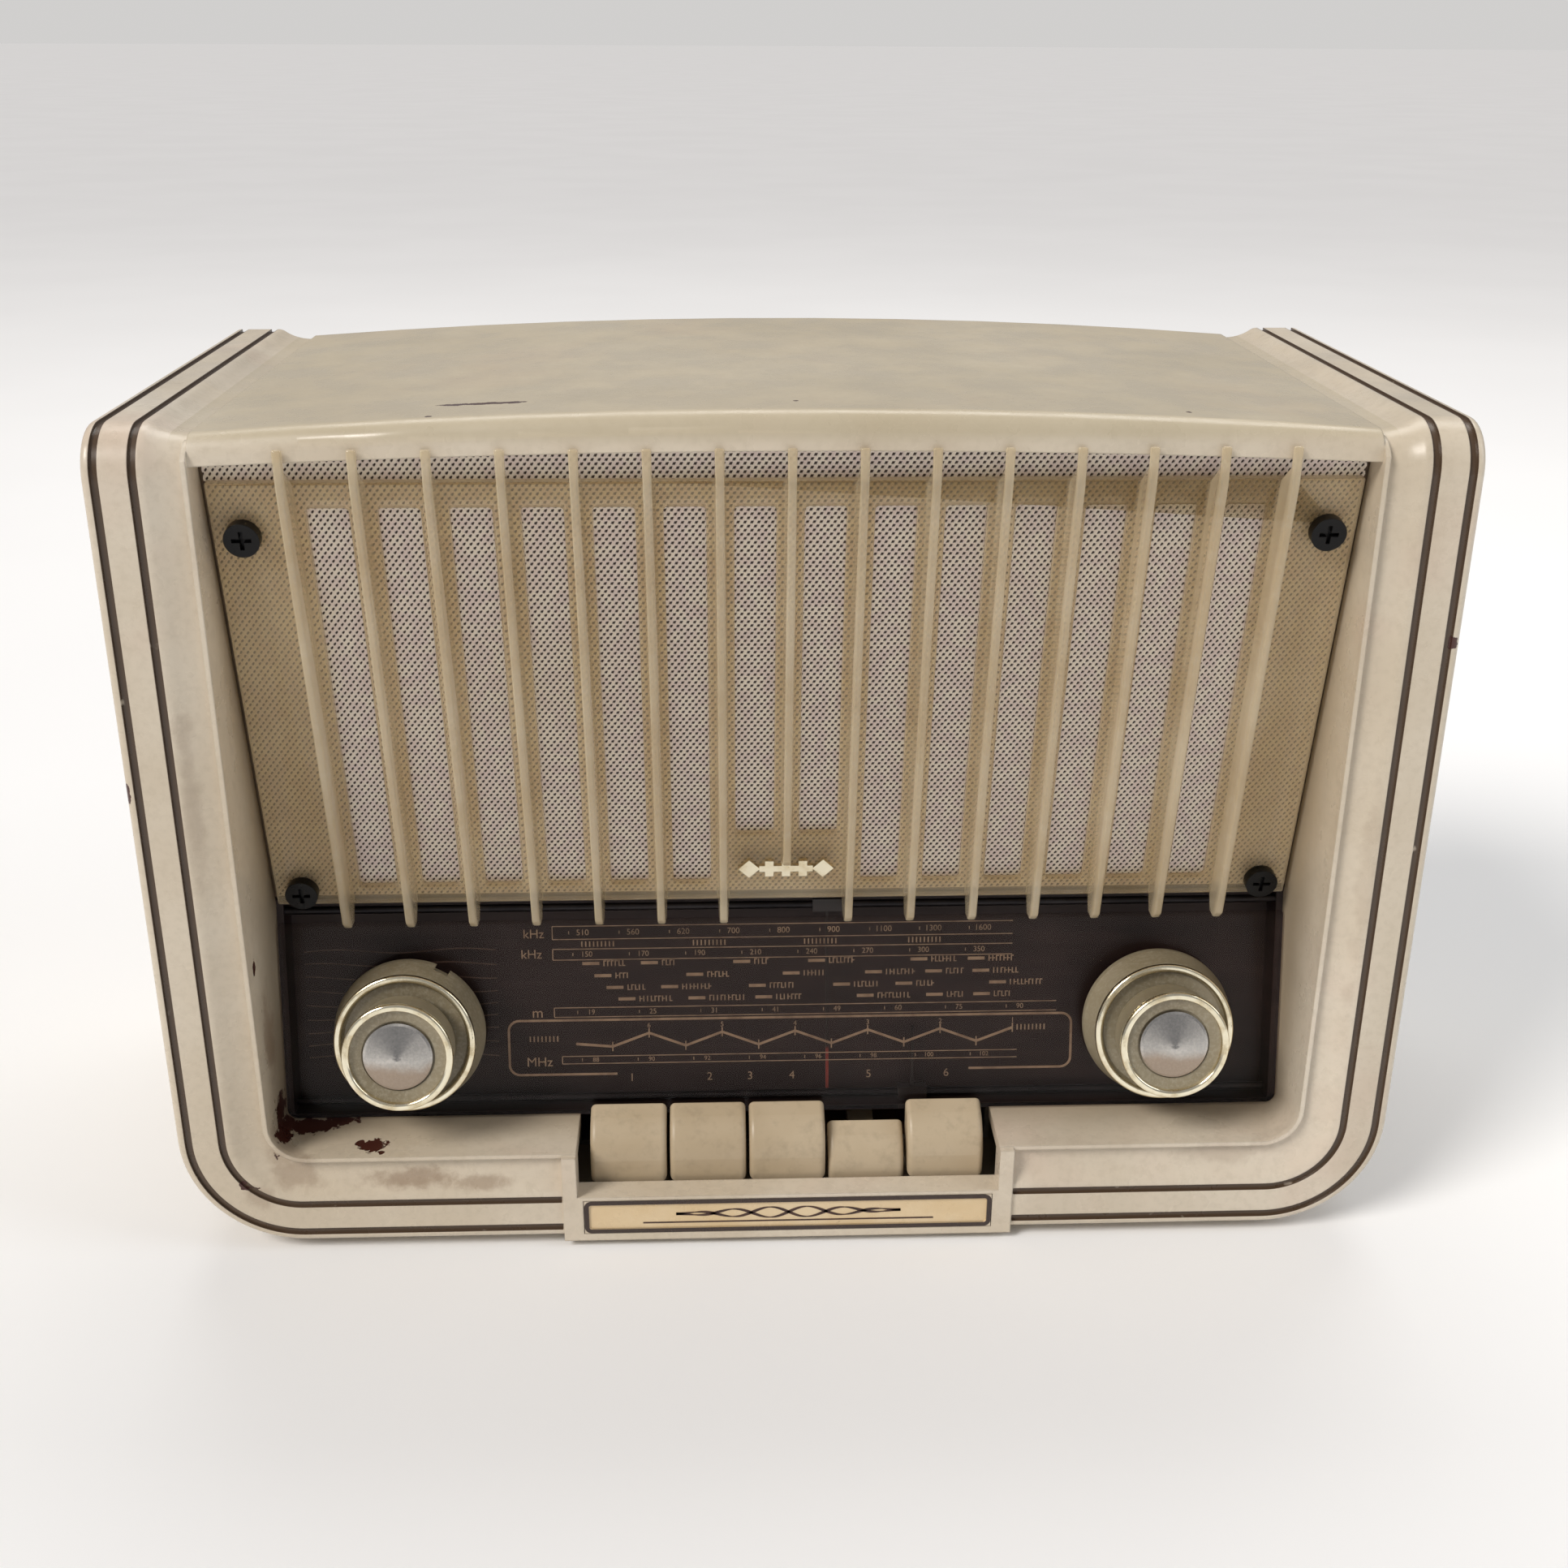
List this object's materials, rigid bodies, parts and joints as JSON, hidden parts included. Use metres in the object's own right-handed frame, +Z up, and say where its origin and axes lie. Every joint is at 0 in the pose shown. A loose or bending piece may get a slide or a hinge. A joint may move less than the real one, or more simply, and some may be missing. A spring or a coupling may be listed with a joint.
{
  "type": "table radio",
  "caption": "Rounded table radio with a recessed ribbed grille, leaning glass dial, double concentric knobs, piano keys below, and a chassis inside.",
  "frame": {"origin": "centre of the footprint, on the surface that the feet stand on", "axes": "+X to the right as the user faces the dial, +Y from the front to the back, +Z up"},
  "size_m": [0.36, 0.1834, 0.2521],
  "materials": {
    "cabinet_shell": "cream paint over brown bakelite, worn and chipped",
    "back_board": "pressed brown board",
    "grille_amber": "translucent amber moulding",
    "speaker_fabric": "woven cream and brown cloth",
    "board": "hardboard",
    "dial_glass": "clear glass with a printed back",
    "dial_back": "dark painted tray",
    "key_cream": "cream moulded keys, aged",
    "knob_brown": "olive brown moulding",
    "gilt_ring": "polished gilt ring",
    "spun_cap": "circular spun finish",
    "shaft_steel": "bright steel",
    "brass_tube": "turned brass",
    "screw_black": "black cross-head screws",
    "screw_steel": "plated screws",
    "plated_steel": "dull zinc plate",
    "badge_face": "cream enamel with a dark border",
    "emblem_gilt": "gilt trim",
    "pointer_paint": "dark needle with a red stretch",
    "core_iron": "stacked laminations",
    "winding_paper": "waxed paper wrap",
    "valve_glass": "clear glass with a grey getter",
    "lamp_glass": "small glass bulbs",
    "lamp_holder_metal": "plated tin",
    "socket_phenolic": "brown phenolic",
    "can_aluminium": "drawn aluminium",
    "ferrite": "dark ferrite with wound coils",
    "magnet": "grey cast magnet",
    "cone_paper": "dark pressed paper",
    "rubber": "black rubber"
  },
  "bodies": {
    "radio_case": {"back_cover": "back_board", "back_cover_screws": "screw_steel", "badge_plate": "badge_face", "baffle_board": "board", "band_switch": "socket_phenolic", "cabinet": "cabinet_shell", "capacitor_frame": "plated_steel", "chassis": "plated_steel", "chassis_screws": "screw_steel", "dial_glass": "dial_glass", "dial_lamps": "lamp_glass", "dial_pan": "dial_back", "ferrite_aerial": "ferrite", "grille": "grille_amber", "grille_emblem": "emblem_gilt", "grille_screws": "screw_black", "key_axle": "shaft_steel", "key_frame": "plated_steel", "lamp_holders": "lamp_holder_metal", "lead_grommet": "rubber", "output_transformer": "plated_steel", "pointer_rails": "shaft_steel", "rubber_feet": "rubber", "screening_cans": "can_aluminium", "smoothing_capacitor": "can_aluminium", "socket_plate": "socket_phenolic", "speaker_basket": "plated_steel", "speaker_cloth": "speaker_fabric", "speaker_cone": "cone_paper", "speaker_magnet": "magnet", "transformer_core": "core_iron", "transformer_winding": "winding_paper", "tuning_bearing": "brass_tube", "valve_sockets": "socket_phenolic", "valves": "valve_glass", "volume_tone_pot": "plated_steel", "wood_screws": "screw_steel"},
    "volume": {"volume_knob": "knob_brown", "volume_knob_ring": "gilt_ring", "volume_knob_cap": "spun_cap", "volume_shaft": "shaft_steel"},
    "tone": {"tone_knob": "knob_brown", "tone_knob_ring": "gilt_ring", "tone_shaft": "brass_tube"},
    "am_tuning": {"am_tuning_knob": "knob_brown", "am_tuning_knob_ring": "gilt_ring", "am_tuning_knob_cap": "spun_cap", "am_tuning_shaft": "shaft_steel"},
    "fm_tuning": {"fm_tuning_knob": "knob_brown", "fm_tuning_knob_ring": "gilt_ring", "fm_tuning_shaft": "brass_tube"},
    "am_pointer": {"am_pointer": "pointer_paint"},
    "fm_pointer": {"fm_pointer": "pointer_paint"},
    "capacitor_drum": {"tuning_drum": "socket_phenolic", "capacitor_rotor": "can_aluminium"},
    "key_1": {"key_1": "key_cream"},
    "key_2": {"key_2": "key_cream"},
    "key_3": {"key_3": "key_cream"},
    "key_4": {"key_4": "key_cream"},
    "key_5": {"key_5": "key_cream"}
  },
  "joints": [
    {"name": "volume_turn", "type": "hinge", "parent": "radio_case", "child": "volume", "pos_m": [-0.114, -0.06288, 0.05999], "axis": [0, 0.9781, -0.2079], "range_deg": [-140, 140]},
    {"name": "tone_turn", "type": "hinge", "parent": "radio_case", "child": "tone", "pos_m": [-0.114, -0.06288, 0.05999], "axis": [0, 0.9781, -0.2079], "range_deg": [-140, 140]},
    {"name": "am_tuning_turn", "type": "hinge", "parent": "radio_case", "child": "am_tuning", "pos_m": [0.114, -0.06288, 0.05999], "axis": [0, 0.9781, -0.2079], "range_deg": [-1253.35, 895.25]},
    {"name": "fm_tuning_turn", "type": "hinge", "parent": "radio_case", "child": "fm_tuning", "pos_m": [0.114, -0.06288, 0.05999], "axis": [0, 0.9781, -0.2079], "range_deg": [-1050.42, 381.97]},
    {"name": "am_pointer_slide", "type": "slide", "parent": "radio_case", "child": "am_pointer", "axis": [1, 0, 0], "range_m": [-0.088, 0.063]},
    {"name": "fm_pointer_slide", "type": "slide", "parent": "radio_case", "child": "fm_pointer", "axis": [1, 0, 0], "range_m": [-0.1105, 0.0405]},
    {"name": "capacitor_turn", "type": "hinge", "parent": "radio_case", "child": "capacitor_drum", "pos_m": [0.075, 0.0073, 0.1076], "axis": [0, 1, 0], "range_deg": [-104.95, 75.1]},
    {"name": "key_1_press", "type": "hinge", "parent": "radio_case", "child": "key_1", "pos_m": [-0.0484, -0.0287, 0.0246], "axis": [1, 0, 0], "range_deg": [0, 8.7], "stiffness_Nm_per_rad": 0.2, "springref_deg": -28.65},
    {"name": "key_2_press", "type": "hinge", "parent": "radio_case", "child": "key_2", "pos_m": [-0.0242, -0.0287, 0.0246], "axis": [1, 0, 0], "range_deg": [0, 8.7], "stiffness_Nm_per_rad": 0.2, "springref_deg": -28.65},
    {"name": "key_3_press", "type": "hinge", "parent": "radio_case", "child": "key_3", "pos_m": [0, -0.0287, 0.0246], "axis": [1, 0, 0], "range_deg": [0, 8.7], "stiffness_Nm_per_rad": 0.2, "springref_deg": -28.65},
    {"name": "key_4_press", "type": "hinge", "parent": "radio_case", "child": "key_4", "pos_m": [0.0242, -0.0287, 0.0246], "axis": [1, 0, 0], "range_deg": [-8.7, 0]},
    {"name": "key_5_press", "type": "hinge", "parent": "radio_case", "child": "key_5", "pos_m": [0.0484, -0.0287, 0.0246], "axis": [1, 0, 0], "range_deg": [0, 8.7], "stiffness_Nm_per_rad": 0.2, "springref_deg": -28.65}
  ],
  "couplings": [
    {"joint": "am_pointer_slide", "follows": "am_tuning_turn", "m_per_rad": 0.004},
    {"joint": "capacitor_turn", "follows": "am_tuning_turn", "ratio": 0.083333},
    {"joint": "fm_pointer_slide", "follows": "fm_tuning_turn", "m_per_rad": 0.006}
  ]
}
